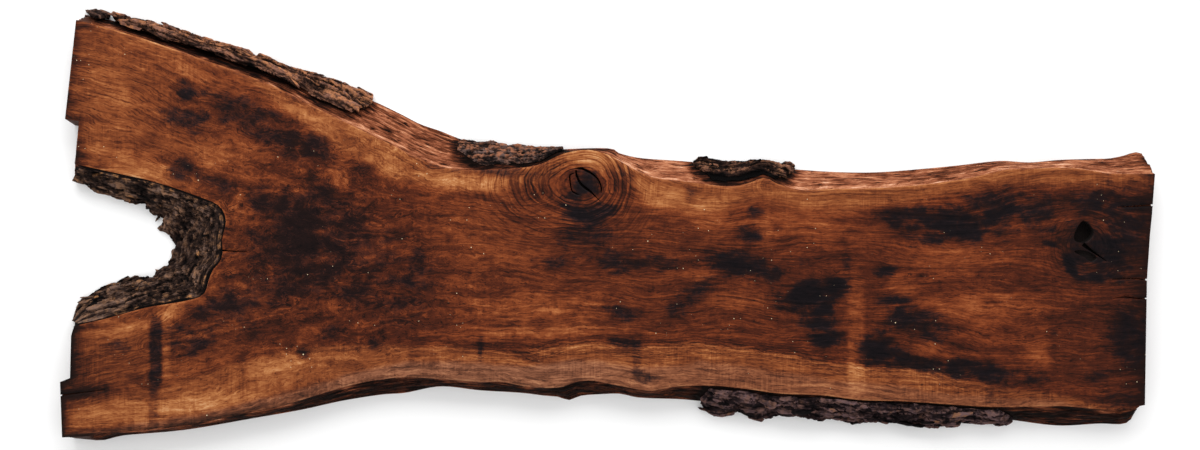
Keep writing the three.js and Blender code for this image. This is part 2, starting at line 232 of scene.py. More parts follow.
def refine(points, faces, step):
    """Halves every edge much longer than the step, and splits its triangles to match, until none is left."""
    while True:
        ends = faces[:, [[0, 1], [1, 2], [2, 0]]]
        halve = lengths_of(points[ends[..., 0]] - points[ends[..., 1]]) > step * 1.45
        if not halve.any():
            return points, faces
        total = len(points)
        key = ends.min(axis=2) * total + ends.max(axis=2)
        halved = np.unique(key[halve])
        middle = total + np.searchsorted(halved, key)
        points = np.concatenate([points, (points[halved // total] + points[halved % total]) / 2])
        # Each triangle is turned so that the edges to halve come first.
        count = halve.sum(axis=1)
        turn = np.select([count == 1, count == 2], [halve.argmax(axis=1), halve.argmin(axis=1) + 1], 0)
        order = (turn[:, None] + np.arange(3)) % 3
        a, b, c = np.take_along_axis(faces, order, 1).T
        ab, bc, ca = np.take_along_axis(np.minimum(middle, len(points) - 1), order, 1).T
        shorter = lengths_of(points[ab] - points[c]) < lengths_of(points[a] - points[bc])
        none, one, two, three = (count == k for k in range(4))
        across, along = two & shorter, two & ~shorter
        faces = np.concatenate([
            rows(a, b, c)[none],
            rows(a, ab, c)[one], rows(ab, b, c)[one],
            rows(ab, b, bc)[two],
            rows(a, ab, c)[across], rows(ab, bc, c)[across],
            rows(a, ab, bc)[along], rows(a, bc, c)[along],
            rows(a, ab, ca)[three], rows(ab, b, bc)[three], rows(ca, bc, c)[three], rows(ab, bc, ca)[three],
        ])


def facet_normals(corners):
    """Each triangle's normal, twice as long as its area."""
    return np.cross(corners[:, 1] - corners[:, 0], corners[:, 2] - corners[:, 0])


def normals_of(points, faces):
    across = facet_normals(points[faces])
    normals = np.zeros_like(points)
    for k in range(3):
        np.add.at(normals, faces[:, k], across)
    return normals / (lengths_of(normals)[:, None] + 1e-12)


def boundary_loops(faces):
    """Loops of the edges that have only one face, each as a list of point numbers."""
    edges = np.concatenate([faces[:, [0, 1]], faces[:, [1, 2]], faces[:, [2, 0]]])
    pairs = set(map(tuple, edges.tolist()))
    after = {b: a for a, b in pairs if (b, a) not in pairs}
    loops = []
    while after:
        start, here = after.popitem()
        loop = [start]
        while here != start:
            loop.append(here)
            here = after.pop(here)
        loops.append(loop)
    return loops


def widest(outlines):
    return max(outlines, key=lambda outline: np.ptp(outline[:, 0]))


def inside(points, loop):
    """Which points lie inside a closed outline, by counting crossings, a batch of points at a time."""
    (ax, ay), (bx, by) = loop.T, np.roll(loop, -1, axis=0).T
    result = []
    for batch in np.array_split(points, len(points) // 4000 + 1):
        x, y = batch[:, 0, None], batch[:, 1, None]
        crossing = ((ay > y) != (by > y)) & (x < (bx - ax) * (y - ay) / (by - ay + 1e-15) + ax)
        result.append(crossing.sum(axis=1) % 2 == 1)
    return np.concatenate(result)


def tree_of(points):
    """A search tree of the points as seen from above."""
    tree = kdtree.KDTree(len(points))
    for k, place in enumerate(points):
        tree.insert((place[0], place[1], 0), k)
    tree.balance()
    return tree


def nearest_in(tree, points):
    """For each point, seen from above: which of the tree's points is nearest, and how far off it is."""
    found = [tree.find((place[0], place[1], 0)) for place in points]
    return np.array([number for _, number, _ in found]), np.array([away for *_, away in found])


def hex_points(low, high, step, seed):
    """A triangular lattice over a rectangle, each point nudged a little."""
    rng = np.random.default_rng(seed)
    heights = np.arange(low[1], high[1], step * math.sqrt(3) / 2)
    x, y = np.meshgrid(np.arange(low[0], high[0], step), heights)
    x = x + (np.arange(len(heights)) % 2 * step / 2)[:, None]
    points = rows(x.ravel(), y.ravel())
    return points + rng.normal(size=points.shape) * step * 0.1


def face_grid(outline, step, seed):
    """Points that fill an outline. The upper face's finer step is finer still round the large knots."""
    grid = hex_points(outline.min(0), outline.max(0), step, seed)
    if step < UNDERSIDE_STEP:
        for x, y, radius, *_ in KNOTS[:2]:
            place = np.array([x, y])
            reach = radius * KNOT_GRID
            finer = hex_points(place - reach, place + reach, KNOT_STEP, seed)
            grid = np.concatenate([
                grid[lengths_of(grid - place) > reach],
                finer[lengths_of(finer - place) < reach],
            ])
    return grid[inside(grid, outline)]


def cap(points, loops, step, z, seed):
    """Fills loops of the shell at one height: new points inside, and triangles over old and new points."""
    outlines = [points[loop][:, :2] for loop in loops]
    outer = widest(outlines)
    rim = np.concatenate(loops)
    grid = face_grid(outer, step, seed)
    grid = grid[nearest_in(tree_of(points[rim]), grid)[1] > KNOT_STEP]
    edges = []
    for loop in loops:
        first, count = len(edges), len(loop)
        edges += [(first + k, first + (k + 1) % count) for k in range(count)]
    plan = np.concatenate([points[rim][:, :2], grid])
    _, _, triangles, origins, _, _ = delaunay_2d_cdt([Vector(p) for p in plan], edges, [], 1, 1e-9)
    triangles = np.array([origin[0] for origin in origins])[np.array(triangles)]
    middles = plan[triangles].mean(axis=1)
    keep = inside(middles, outer)
    for outline in outlines:
        if outline is not outer:
            keep &= ~inside(middles, outline)
    numbers = np.concatenate([rim, len(points) + np.arange(len(grid))])
    return rows(*grid.T, z), numbers[triangles[keep]]


class Outline:
    """The upper face's outline, with the distance along it, as a ruler for whatever grows round the edge."""

    def __init__(self, loop):
        self.points = loop
        self.steps = np.roll(loop, -1, axis=0) - loop
        self.lengths = lengths_of(self.steps)
        self.along = np.concatenate([[0], np.cumsum(self.lengths)[:-1]])
        self.tree = tree_of(loop)
        x, y = loop.T
        self.sawn = np.zeros(len(loop), bool)
        for low_x, high_x, low_y, high_y in SAWN_ENDS:
            self.sawn |= (x > low_x) & (x < high_x) & (y > low_y) & (y < high_y)

    def measure(self, points):
        """For each point: distance along the outline, distance from it, and whether it is sawn there."""
        nearest, _ = nearest_in(self.tree, points)
        best_away = np.full(len(points), np.inf)
        best_along = np.zeros(len(points))
        for k in (nearest, nearest - 1):
            from_start = points[:, :2] - self.points[k]
            share = (from_start * self.steps[k]).sum(axis=1) / (self.lengths[k] ** 2 + 1e-15)
            share = np.clip(share, 0, 1)
            away = lengths_of(from_start - share[:, None] * self.steps[k])
            closer = away < best_away
            best_away = np.where(closer, away, best_away)
            best_along = np.where(closer, self.along[k] + share * self.lengths[k], best_along)
        return best_along, best_away, self.sawn[nearest]

    def direction(self, points):
        """Which way the outline runs beside each point, as a level vector of length 1."""
        nearest, _ = nearest_in(self.tree, points)
        ahead = self.points[(nearest + 2) % len(self.points)] - self.points[nearest - 2]
        return flat(ahead / lengths_of(ahead)[:, None])


def mesh_object(name, points, faces, face_material=None):
    mesh = bpy.data.meshes.new(name)
    mesh.from_pydata(points.tolist(), [], faces.tolist())
    mesh.shade_smooth()
    if face_material is not None:
        mesh.polygons.foreach_set("material_index", face_material.astype(np.int32))
    made = bpy.data.objects.new(name, mesh)
    bpy.context.scene.collection.objects.link(made)
    return made


def write_attributes(obj, fields):
    for name, values in fields.items():
        kind, key = ("FLOAT_VECTOR", "vector") if values.ndim == 2 else ("FLOAT", "value")
        attribute = obj.data.attributes.new(name, kind, "POINT")
        attribute.data.foreach_set(key, values.astype(np.float32).ravel())


def edge_heights(loop, x):
    """The outline's highest and lowest y at each x."""
    a, b = loop, np.roll(loop, -1, axis=0)
    low, high = np.minimum(a[:, 0], b[:, 0]), np.maximum(a[:, 0], b[:, 0])
    top, bottom = [], []
    for here in x:
        crossed = (low <= here) & (high > here)
        share = (here - a[crossed, 0]) / (b[crossed, 0] - a[crossed, 0])
        y = a[crossed, 1] + share * (b[crossed, 1] - a[crossed, 1])
        top.append(y.max())
        bottom.append(y.min())
    return np.array(top), np.array(bottom)


def curl_of(points):
    """How strongly the grain curls, 1 in the feather below the fork and 0 well away from it."""
    x, y = points[:, 0], points[:, 1]
    return bell(x, CURL.x, CURL_REACH[0]) * bell(y, CURL.y, CURL_REACH[1])


def knot_rings(points, knot):
    """How far each point is from a knot, and how much the knot's rings take over there."""
    x, y, radius, reach, strength, stretch = knot
    dx = points[:, 0] - x
    away = np.hypot(np.where(dx < 0, dx / stretch, dx), points[:, 1] - y)
    return away, strength * np.exp(-((away / (reach + radius)) ** 3))


class Grain:
    """Where the growth layers run. Its value stays the same along one layer, in metres across the grain."""

    def __init__(self, loop):
        self.x = np.arange(loop[:, 0].min() + 0.045, loop[:, 0].max() - 0.03, 0.01)
        smooth = np.hanning(15) / np.hanning(15).sum()
        heights = edge_heights(loop, self.x)
        self.top, self.bottom = (np.convolve(np.pad(y, 7, "edge"), smooth, "valid") for y in heights)

    def layers(self, x, y):
        top, bottom = np.interp(x, self.x, self.top), np.interp(x, self.x, self.bottom)
        upper, lower = (np.interp(x, *np.array(pith).T) for pith in (UPPER_PITH, LOWER_PITH))
        return np.maximum((y - upper) / (top - upper), (lower - y) / (lower - bottom)) * HALF_WIDTH

    def __call__(self, points):
        plan = flat(points)
        swirl = 0.006 + 0.035 * curl_of(points)
        x = points[:, 0] + noise("grain along", plan) * swirl
        y = points[:, 1] + noise("grain across", plan) * (0.02 + swirl)
        for knot in KNOTS:
            _, middle, radius, *_ = knot
            _, near = knot_rings(points, knot)
            y = y - KNOT_PUSH * radius * np.tanh((points[:, 1] - middle) / radius) * near
        return self.layers(x, y) + noise("layers", plan) * 0.006


def distance_field(node_names):
    """A function of points: how far each is from the surfaces of some CAD nodes, or 1 where that is far."""
    trees = []
    for name in node_names:
        points, faces = solid_of(name)
        trees.append(BVHTree.FromPolygons(points.tolist(), faces.tolist()))

    def distance(points):
        nearest = np.full(len(points), 1.0)
        for tree in trees:
            found = [tree.find_nearest(p, 0.05)[3] for p in points.tolist()]
            nearest = np.minimum(nearest, [1.0 if d is None else d for d in found])
        return nearest

    return distance


def wane_ruler(points, along, away):
    """A ruler for the wane's fibres: the distance along the outline, and the distance down from the rim."""
    return rows(along, away * 0.8 + (FACE_Z - points[:, 2]) * 0.6, 0.0)


def wane_cuts(ruler, near_bark):
    """How deep the long grooves and the swellings between them are cut into the bare wane."""
    grooves = 1 - ridges(ruler, *GROOVES)
    swell = 0.5 + 0.5 * noise("swellings", ruler)
    return (GROOVE_DEPTH * grooves ** 1.5 + SWELL_DEPTH * swell) * smoothstep(near_bark, *BARK_FADE)


def open_shell():
    """The wood's sides without its two sawn faces, and the loops left open at the top and at the foot."""
    points, faces = solid_of("slab_wood")
    heights = points[faces][..., 2]
    capped = (heights > FACE_Z - CAP_SLACK).all(axis=1) | (heights < CAP_SLACK).all(axis=1)
    points, shell = refine(points, faces[~capped], WANE_STEP)
    used = np.unique(shell)
    points, shell = points[used], np.searchsorted(used, shell)
    loops = boundary_loops(shell)
    high = [loop for loop in loops if points[loop[0]][2] > FACE_Z / 2]
    low = [loop for loop in loops if points[loop[0]][2] < FACE_Z / 2]
    return points, shell, high, low


def wood():
    """The slab's wood: the CAD solid with a finer, fibrous wane and with sawn faces that carry the grain."""
    points, shell, high, low = open_shell()
    outline = Outline(widest([points[loop][:, :2] for loop in high]))
    along, away, sawn = outline.measure(points)
    near_bark = distance_field([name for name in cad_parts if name.startswith("bark")])(points)

    # Everything is cut into the solid, so that nothing stands past it.
    walls = inside(points, outline.points) & (away > WALL_INSET)
    saw_marks = SAW_DEPTH * (1 + noise("saw marks", points))
    depth = np.where(sawn, saw_marks, wane_cuts(wane_ruler(points, along, away), near_bark))
    fade = smoothstep(points[:, 2], *FOOT_FADE) * smoothstep(FACE_Z - points[:, 2], *RIM_FADE)
    points = points - normals_of(points, shell) * (depth * fade * ~walls)[:, None]

    top_points, top_faces = cap(points, high, FACE_STEP, FACE_Z, GRID_SEEDS[0])
    points = np.concatenate([points, top_points])
    low_points, low_faces = cap(points, low, UNDERSIDE_STEP, 0.0, GRID_SEEDS[1])
    points = np.concatenate([points, low_points])
    faces = np.concatenate([shell, top_faces, low_faces[:, ::-1]])
    # Sides inside the outline, the walls of cracks and holes, take the crack finish, painted near black as
    # shade.
    in_wall, in_end = (which[shell].sum(axis=1) >= 2 for which in (walls, sawn))
    kind = np.full(len(faces), FACE_SLOT)
    kind[:len(shell)] = np.where(in_wall, CRACK_SHADE_SLOT, np.where(in_end, END_SLOT, WANE_SLOT))
    made = mesh_object("wood", points, faces, kind)
    near_bark = np.concatenate([near_bark, np.ones(len(points) - len(near_bark))])
    write_wood_fields(made, points, outline, near_bark)
    return made, outline


# Stains in the heartwood: x, y, half length and half width in millimetres, darkness, and how far they are
# turned in degrees. Pale ones have a negative darkness.
CLOUDS = [
    # The feather that spreads from the fork.
    (-526, -30, 120, 75, 0.6, -35), (-620, 10, 80, 70, 0.5), (-630, -60, 100, 60, 0.6),
    (-660, -130, 100, 30, 0.45), (-750, -170, 120, 30, 0.35, 5), (-566, 150, 40, 20, 0.45, -40),
    (-666, 40, 60, 25, 0.45, -20), (-425, -170, 90, 45, 0.35, -25), (-370, -90, 50, 45, 0.35),
    (-756, -160, 50, 14, 0.5, 5), (-706, -210, 50, 20, 0.3, 5), (-536, 115, 35, 28, -0.45, -40),
    # The upper limb.
    (-836, 265, 22, 18, 0.6), (-836, 210, 55, 22, 0.6, -10), (-846, 115, 26, 24, 0.6),
    (-771, 80, 60, 14, 0.5, -15), (-726, 225, 90, 30, 0.45, -25), (-636, 165, 60, 30, 0.5, -30),
    (-485, 115, 14, 10, 0.5), (-996, 250, 90, 120, -0.36), (-916, 105, 75, 18, -0.75, -14),
    (-816, 305, 70, 18, -0.4, -22), (-876, 340, 60, 20, -0.2, -20), (-766, 145, 85, 22, -0.45, -4),
    (-616, 215, 65, 16, -0.35, -32),
    # The lower limb.
    (-831, -235, 40, 26, 0.6), (-606, -255, 13, 11, 0.7), (-546, -215, 30, 20, 0.4, 20),
    (-981, -245, 30, 14, 0.4), (-946, -305, 32, 14, 0.35), (-465, -240, 14, 10, 0.5),
    (-976, -215, 70, 26, -0.5, 8), (-871, -170, 26, 18, -0.8, 15), (-956, -380, 120, 24, -0.4, 5),
    (-805, -355, 85, 16, -0.6, 8), (-646, -280, 90, 26, -0.55, 14), (-918, -240, 6, 6, 0.4),
    # Round the larger knot.
    (-105, -75, 45, 10, 0.4), (-36, -20, 60, 25, 0.5), (15, -70, 55, 20, 0.6, -8),
    (-21, 25, 35, 20, 0.7, 10), (-71, 20, 35, 16, 0.45, -20), (-62, 36, 24, 18, 0.6, -30),
    (-43, 83, 26, 26, 0.85), (-235, 108, 110, 10, 0.5, -3), (44, 100, 30, 14, 0.35, -35),
    (-41, 135, 55, 14, -0.6), (-316, 85, 110, 22, -0.42, -10), (-285, 0, 55, 24, -0.2),
    (-215, -65, 85, 40, -0.15), (-266, -150, 70, 28, -0.1), (-116, -165, 110, 24, -0.4),
    (-105, -210, 120, 14, -0.5, 3), (115, 45, 55, 24, -0.45, -10),
    # The middle.
    (115, -75, 40, 16, 0.4), (262, -82, 65, 24, 0.8, -8), (295, 26, 18, 10, 0.6), (285, -20, 26, 16, 0.6),
    (170, -145, 60, 18, 0.55, 30), (405, -138, 60, 26, 0.95, 8), (430, -185, 26, 32, 0.85),
    (434, -228, 42, 15, 0.9), (390, -195, 30, 20, 0.35), (455, -122, 32, 12, 0.8, 25),
    (385, -75, 40, 12, 0.3), (35, -175, 40, 16, 0.55, -8), (44, -235, 40, 10, 0.45, -5),
    (80, -305, 28, 12, 0.6, -10), (-66, -305, 16, 10, 0.45), (480, -75, 12, 18, 0.45),
    (170, 60, 12, 12, 0.45), (210, 15, 45, 36, -0.5), (315, -15, 18, 30, -0.45),
    (445, -15, 90, 20, -0.3, 5), (375, 20, 80, 30, -0.4), (255, -150, 85, 18, -0.4),
    (494, -150, 20, 60, -0.3), (190, -110, 30, 16, -0.35),
    # Towards the single end.
    (549, -248, 38, 30, 0.9), (620, -276, 85, 10, 0.6, -3), (640, -247, 30, 16, -0.4),
    (759, -295, 100, 18, 0.7, -6), (644, -190, 60, 20, 0.5, -25), (570, -150, 30, 10, 0.7),
    (604, -195, 50, 24, 0.65, -20), (558, -92, 24, 11, 0.7), (695, 0, 105, 34, 0.8),
    (769, 45, 45, 26, 0.55), (594, 25, 50, 14, 0.4, 8), (954, -20, 45, 45, 0.4), (969, -90, 52, 26, 0.3),
    (1020, -34, 20, 7, 0.7), (927, -84, 26, 8, 0.75, -63), (975, -108, 34, 7, 0.75),
    (1012, -101, 16, 6, 0.8, 15), (1027, -73, 9, 18, 0.6), (994, -51, 32, 20, 0.6, -30),
    (886, -38, 16, 5, 0.6, -20), (863, 20, 30, 34, 0.45), (975, 42, 45, 20, 0.4), (1010, -50, 55, 65, 0.3),
    (924, 50, 130, 28, 0.35), (1044, 0, 45, 55, 0.4), (1044, -225, 40, 55, 0.65), (984, -305, 26, 16, 0.55),
    (1034, -350, 60, 20, 0.35), (695, -65, 90, 24, -0.4, 3), (759, -165, 110, 28, -0.45),
    (864, -255, 28, 18, -0.5), (594, -125, 28, 18, -0.4),
]

# Stripes that the drying sticks left, straight across the grain: lowest x, highest x, lowest y,
# highest y, darkness.
STICK_MARKS = [
    (-0.914, -0.89, -0.32, -0.185, 0.6), (-0.916, -0.896, -0.42, -0.31, 0.35),
    (-0.888, -0.872, -0.3, -0.17, -0.35), (-0.258, -0.247, -0.27, -0.22, 0.6),
    (0.052, 0.069, -0.31, -0.23, 0.4), (0.483, 0.516, -0.334, -0.205, -0.5),
    (0.484, 0.514, -0.205, -0.12, -0.2), (-0.736, -0.721, -0.36, -0.25, 0.2),
    (0.759, 0.774, -0.36, -0.28, 0.25), (0.886, 0.9, -0.3, -0.2, 0.2),
]

# Where the paler sapwood starts, and where the pinkish outermost wood starts, as x and y along the slab.
LOWER_SAP = [
    (-1.096, -0.35), (-0.916, -0.335), (-0.736, -0.275), (-0.616, -0.245), (-0.485, -0.238),
    (-0.316, -0.242), (-0.215, -0.25), (-0.155, -0.252), (-0.096, -0.238), (-0.015, -0.232),
    (0.065, -0.242), (0.185, -0.234), (0.285, -0.246), (0.364, -0.258), (0.475, -0.276), (0.514, -0.282),
    (0.644, -0.284), (0.704, -0.306), (0.784, -0.322), (0.904, -0.338), (0.984, -0.354), (1.115, -0.37),
]
LOWER_PINK = [
    (-1.096, -0.42), (-0.816, -0.378), (-0.716, -0.352), (-0.616, -0.328), (-0.516, -0.296),
    (-0.415, -0.274), (-0.316, -0.272), (-0.215, -0.276), (-0.155, -0.282), (-0.066, -0.264),
    (0.025, -0.278), (0.095, -0.284), (0.185, -0.27), (0.285, -0.28), (0.385, -0.298), (0.484, -0.312),
    (0.584, -0.32), (0.684, -0.334), (0.784, -0.344), (0.904, -0.348), (0.984, -0.37), (1.115, -0.39),
]
UPPER_SAP = [
    (-1.096, 0.42), (-0.736, 0.3), (-0.636, 0.226), (-0.536, 0.15), (-0.435, 0.094), (-0.335, 0.074),
    (-0.215, 0.066), (-0.135, 0.08), (-0.075, 0.12), (0.035, 0.09), (0.085, 0.04), (0.185, 0.026),
    (0.255, 0.034), (0.304, 0.05), (0.385, 0.034), (0.484, 0.026), (0.584, 0.038), (0.684, 0.058),
    (0.784, 0.074), (0.904, 0.074), (1.115, 0.066),
]

# How pinkish the outermost wood is along the slab.
PINK_SHARE = [(-1.1, 0.4), (-0.5, 0.75), (-0.1, 0.75), (0.15, 0.5), (0.5, 0.35), (1.1, 0.4)]

# How light the bare wood is along the slab, how golden rather than red, and the same for the two wanes.
FACE_TONE = [
    (-1.086, 0.47), (-0.736, 0.47), (-0.616, 0.41), (-0.316, 0.45), (0.025, 0.43), (0.385, 0.41),
    (0.684, 0.43), (0.864, 0.41), (1.065, 0.34),
]
FACE_GOLD = [
    (-1.086, 0.85), (-0.856, 0.6), (-0.696, 0.35), (-0.415, 0.2), (-0.215, 0.3), (-0.015, 0.25),
    (0.385, 0.1), (1.115, 0.1),
]
UPPER_WANE = [
    (-1.086, 0.34), (-0.816, 0.26), (-0.616, 0.34), (-0.465, 0.54), (-0.345, 0.5), (-0.285, 0.34),
    (-0.25, 0.16), (-0.096, 0.14), (-0.015, 0.19), (0.035, 0.63), (0.165, 0.58), (0.195, 0.22),
    (0.364, 0.22), (0.385, 0.63), (0.584, 0.55), (0.684, 0.46), (0.784, 0.5), (0.984, 0.58), (1.115, 0.42),
]
# The lower wane is much darker than the upper: partly its own colour, partly painted shade of the side turned
# away from the lamp.
LOWER_WANE = [(-1.1, 0.1), (0.78, 0.1), (0.86, 0.08), (1.1, 0.08)]


def between(value, low, high, before, after):
    """1 between low and high and 0 beyond, each border eased from before it to after it."""
    rise = smoothstep(value, low - before, low + after)
    return rise * smoothstep(-value, -high - before, -high + after)


def cloud_share(points, ragged, box, turn=0):
    """One cloud's strength, from 1 in its middle to 0 past its ragged border."""
    x, y, half_length, half_width = np.array(box) / 1000
    cos, sin = math.cos(math.radians(turn)), math.sin(math.radians(turn))
    dx, dy = points[:, 0] - x, points[:, 1] - y
    reach = np.hypot((dx * cos + dy * sin) / half_length, (dy * cos - dx * sin) / half_width)
    return 1 - smoothstep(reach + ragged, 0.2, 1.75)


def stains(points):
    """Each cloud's and each stripe's strength at the points, with its darkness."""
    plan = flat(points)
    ragged = noise("cloud borders", plan) * 1.1 + noise("cloud streaks", plan) * 0.7
    for x, y, half_length, half_width, darkness, *turn in CLOUDS:
        yield cloud_share(points, ragged, (x, y, half_length, half_width), *turn), darkness
    for low_x, high_x, low_y, high_y, darkness in STICK_MARKS:
        stripe = between(points[:, 0], low_x, high_x, 0.004, 0.003)
        yield stripe * between(points[:, 1], low_y, high_y, 0.02, 0.02), darkness


def clouds(points):
    """How dark and how pale the stains make the wood, each 0 to 1."""
    dark, pale = np.ones(len(points)), np.ones(len(points))
    for share, darkness in stains(points):
        rest = dark if darkness > 0 else pale
        rest *= 1 - abs(darkness) * share
    return 1 - dark, 1 - pale


def wane_tones(points, away, near_bark):
    """How light the bare wane is: lighter along the face's rim, painted darker beside the bark as shade, and
    darker on the lower side, partly its own colour and partly painted shade.
    """
    upper_side = points[:, 1] > 0.5 * (line(points, UPPER_PITH) + line(points, LOWER_PITH))
    # The lower side's darker tone is partly its own colour and partly painted shade.
    tone = np.where(upper_side, line(points, UPPER_WANE), line(points, LOWER_WANE))
    patchy = smoothstep(noise("rim patches", flat(points)), -0.1, 0.3)
    tone = tone + np.where(upper_side, 0.2, 0.4 * patchy) * bell(away, 0.002, 0.006)
    # Painted shade where the wane meets the bark.
    return tone - 0.3 * (1 - smoothstep(near_bark, 0.002, 0.02))


def ring_fields(points):
    """How far the nearest knot is, made a little uneven, and how strongly its rings show."""
    away, near = map(np.array, zip(*(knot_rings(points, knot) for knot in KNOTS)))
    nearest = near.argmax(axis=0)
    away, near = (values[nearest, range(len(points))] for values in (away, near))
    radius = np.array(KNOTS)[nearest, 2]
    plan = flat(points)
    patchy = 0.35 + 0.65 * smoothstep(noise("ring patches", plan), -0.3, 0.3)
    outside = 0.25 + 0.75 * smoothstep(away / radius, 0.8, 1.2)
    return away + noise("ring drift", plan) * 0.22 * np.minimum(radius, away), near * patchy * outside


def write_wood_fields(obj, points, outline, near_bark):
    """What the finishes read: where the grain runs, and how light, golden and pink the wood is."""
    along, away, _ = outline.measure(points)
    layer = Grain(outline.points)(points)
    x, y, z = points.T
    wavy = y + noise("sap borders", flat(points)) * 0.008
    dark, pale = clouds(points)
    lower_sap = smoothstep(line(points, LOWER_SAP) - wavy, -0.004, 0.006)
    upper_sap = smoothstep(wavy - line(points, UPPER_SAP), -0.012, 0.02)
    pink = smoothstep(line(points, LOWER_PINK) - wavy, -0.004, 0.008)
    gold = line(points, FACE_GOLD) + np.maximum(lower_sap, upper_sap * 0.9) + 0.4 * pale

    _, to_end = nearest_in(tree_of(outline.points[outline.sawn]), points)
    end_stain = np.exp(-to_end / 0.014) * (1 + 0.6 * noise("end stain", rows(x, layer, layer)))
    fringe = np.exp(-away / 0.008) * smoothstep(-x, 0.6, 0.75) * (wavy < -0.2)
    tone = line(points, FACE_TONE) + 0.16 * upper_sap + 0.36 * pale * (1 - dark)
    tone = tone - 0.27 * dark - 0.3 * end_stain - 0.4 * fringe
    face = (z > FACE_Z - CAP_SLACK) | (z < CAP_SLACK)
    knot_away, rings = ring_fields(points)
    write_attributes(obj, {
        "flow": rows(x, layer, z),
        "edge": wane_ruler(points, along, away),
        "tone": np.where(face, tone, wane_tones(points, away, near_bark)),
        "gold": np.clip(gold, 0, 1),
        "pink": pink * line(points, PINK_SHARE),
        "stain": dark,
        "sap_depth": np.clip(line(points, LOWER_SAP) - y, -0.1, 0.2),
        "seam": smoothstep(x, -0.4, -0.2) * smoothstep(-x, -0.9, -0.6),
        "swirl": curl_of(points),
        "knot_away": knot_away,
        "rings": rings,
    })


class BarkLook(NamedTuple):
    """How one piece of bark is furrowed, flaked and coloured."""

    seed: int
    furrow: float  # how deep its furrows go
    ridge: tuple  # length and width of its ridges
    plates: float  # how much of it is overlapping plates rather than ridges, 0 to 1
    density: float  # flakes on a square decimetre
    flake: tuple  # length, width and thickness of a flake
    shades: tuple  # colours of its furrows, its sides, its crests and its warmer parts; the near-black furrows are partly painted shade and the light crests partly painted light
    speckle: float = 0.9  # how strongly its fine grain shows
    shaded_cleft: tuple = ((0, 0),)  # how far out from the face a deep cleft reaches, as x and distance; it is cut as the deepest furrow and painted near black as shade
    outer: tuple = (1, 2)  # between these distances from the face it turns to its warmer, lighter colour, partly its own colour and partly painted light on the outer tier


BARKS = {
    "bark_upper_limb": BarkLook(
        101, 0.009, (0.13, 0.009), 0.1, 12, (0.06, 0.008, 0.0026),
        ("060505", "38251f", "8f6453", "b87a52"), 0.9,
        ((-1.0, 0.012), (-0.72, 0.02), (-0.6, 0.016), (-0.45, 0.01)), (0.022, 0.038),
    ),
    "bark_upper_tip": BarkLook(
        102, 0.004, (0.05, 0.012), 0.2, 12, (0.03, 0.007, 0.002),
        ("090707", "3b2b27", "846353", "a06a45"),
    ),
    "bark_hollow": BarkLook(
        103, 0.006, (0.05, 0.008), 0.3, 16, (0.026, 0.005, 0.002),
        ("040404", "1f1716", "6e5750", "a4694b"), 0.7, outer=(0.014, 0.026),
    ),
    "bark_upper_patch": BarkLook(
        104, 0.009, (0.07, 0.01), 0.2, 12, (0.034, 0.01, 0.003),
        ("050404", "2b1c18", "93654f", "c08458"), 0.7, ((0.1, 0.025), (0.3, 0.025), (0.34, 0.014)),
    ),
    "bark_lower_edge": BarkLook(
        105, 0.008, (0.13, 0.018), 0.6, 12, (0.055, 0.014, 0.003),
        ("060506", "241a1c", "6d5454", "8c6044"), 0.8,
    ),
    "bark_crotch": BarkLook(
        106, 0.011, (0.1, 0.014), 0.25, 12, (0.04, 0.009, 0.0034),
        ("080606", "2f221e", "7c6154", "b67e4e"), 0.8, ((-1.1, 0.003), (0, 0.003)),
    ),
}
THROAT = (-0.97, -0.88)  # the crotch's bark goes from ridged to lumpy between these x
RIM_FLECKS = (0.0065, 0.007)  # the bark has warmer flecks this far from the face, and their reach
FLUSH_SLACK = 0.0012  # bark this near the upper face's height was sawn with it
FLAKE_SIDES = 7


def flake(rng, middle, along, out, size):
    """An irregular plate, thinner towards its rim, as points and triangles."""
    length, width, thickness = size * rng.uniform(0.5, 1.3, 3)
    here = np.arange(FLAKE_SIDES)
    turn = (here + rng.uniform(-0.4, 0.4, FLAKE_SIDES)) * math.tau / FLAKE_SIDES
    reach = rng.uniform(0.5, 1.15, FLAKE_SIDES)[:, None] / 2
    side = np.cross(out, along)
    plan = np.cos(turn)[:, None] * along * length + np.sin(turn)[:, None] * side * width
    top = middle + plan * reach * 0.85 + out * thickness
    bottom = middle + plan * reach - out * thickness
    points = np.concatenate([top, bottom, [middle + out * thickness * 1.1, middle - out * thickness]])
    after = (here + 1) % FLAKE_SIDES
    low_here, low_after, crown = here + FLAKE_SIDES, after + FLAKE_SIDES, 2 * FLAKE_SIDES
    faces = np.concatenate([
        rows(here, after, crown),
        rows(here, low_here, after), rows(after, low_here, low_after),
        rows(low_after, low_here, crown + 1),
    ])
    return points, faces


def bark_relief(points, outline, look, lumpy):
    """The bark's relief, 0 in its furrows and up to 1 on its crests."""
    along, away, _ = outline.measure(points)
    length, width = look.ridge
    down = np.hypot(away, FACE_Z - points[:, 2])
    ruler = rows(along, down + fractal(points, 0.05, 2, look.seed + 5) * 0.008, 0.0)
    long_ridges = ridges(ruler, (length, width, 1), 3, look.seed, 0.6)
    steps = fractal(ruler, (length * 0.6, width * 1.2, 1), 3, look.seed + 20) * 3
    terraces = 0.7 * (steps % 1) ** 0.6 + 0.3 * long_ridges
    relief = long_ridges * (1 - look.plates) + terraces * look.plates
    lumps = 0.6 * ridges(points, (0.018, 0.026, 0.02), 4, look.seed + 40, 0.7) + 0.4 * long_ridges
    relief = relief * (1 - lumpy) + lumps * lumpy
    # In the cleft the relief is 0, so it is cut deepest and painted in the near-black furrow colour as shade.
    edge = line(points, look.shaded_cleft) + fractal(ruler, (0.05, 0.02, 1), 2, look.seed + 30) * 0.006
    return relief * smoothstep(away - edge, -0.003, 0.002)


